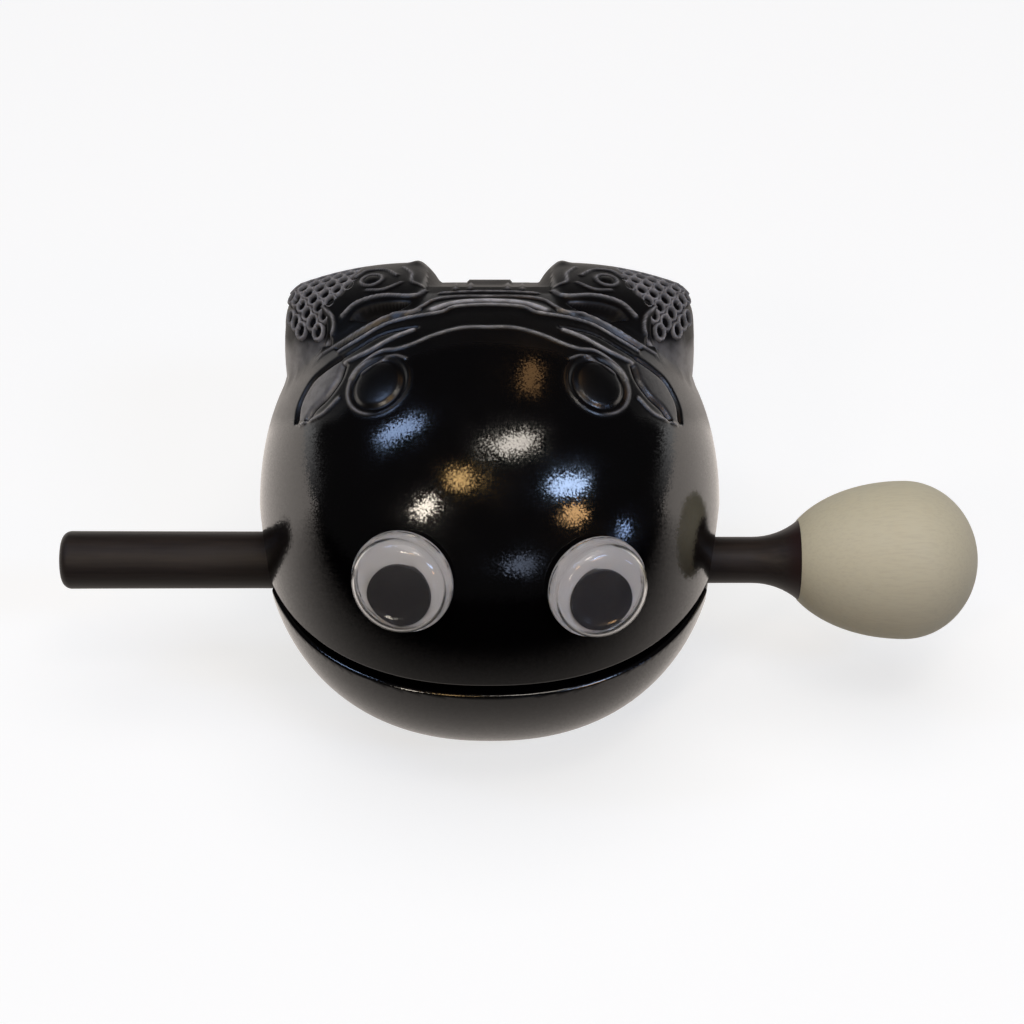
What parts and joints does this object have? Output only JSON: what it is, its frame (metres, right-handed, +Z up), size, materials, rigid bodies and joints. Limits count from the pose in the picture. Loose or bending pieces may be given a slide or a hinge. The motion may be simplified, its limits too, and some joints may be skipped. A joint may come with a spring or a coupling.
{
  "type": "mokugyo wooden fish",
  "caption": "Hollow lacquered wooden fish drum with a mouth slot, carved fish handle and glued wiggle eyes, with its turned mallet stored through the side holes.",
  "frame": {"origin": "centre of the flat foot that the body rests on", "axes": "+Z up, mouth and eyes face -Y, mallet lies along X with its head at +X"},
  "size_m": [0.1893, 0.0996, 0.0904],
  "materials": {
    "black_lacquer": "gloss black lacquer over carved wood",
    "dark_stained_wood": "dark brown stain, satin",
    "pale_turned_wood": "bare turned wood, matt",
    "clear_glue": "clear craft glue",
    "white_plastic": "thin white sheet",
    "clear_plastic": "clear moulded dome",
    "black_plastic": "loose black disc"
  },
  "bodies": {
    "wooden_fish": {"carved_body": "black_lacquer", "left_eye_glue": "clear_glue", "left_eye_back": "white_plastic", "left_eye_dome": "clear_plastic", "right_eye_glue": "clear_glue", "right_eye_back": "white_plastic", "right_eye_dome": "clear_plastic"},
    "mallet": {"mallet_stick": "dark_stained_wood", "mallet_head": "pale_turned_wood"},
    "left_pupil": {"left_eye_pupil": "black_plastic"},
    "right_pupil": {"right_eye_pupil": "black_plastic"}
  },
  "joints": [
    {"name": "mallet_draw", "type": "slide", "parent": "wooden_fish", "child": "mallet", "axis": [1, 0, 0], "range_m": [-0.01, 0.142]},
    {"name": "left_pupil_roll", "type": "hinge", "parent": "wooden_fish", "child": "left_pupil", "pos_m": [-0.01609, -0.04244, 0.06293], "axis": [-0.266, -0.8564, 0.4425], "continuous": true},
    {"name": "right_pupil_roll", "type": "hinge", "parent": "wooden_fish", "child": "right_pupil", "pos_m": [0.02066, -0.04178, 0.06084], "axis": [0.3653, -0.8409, 0.3992], "continuous": true}
  ]
}
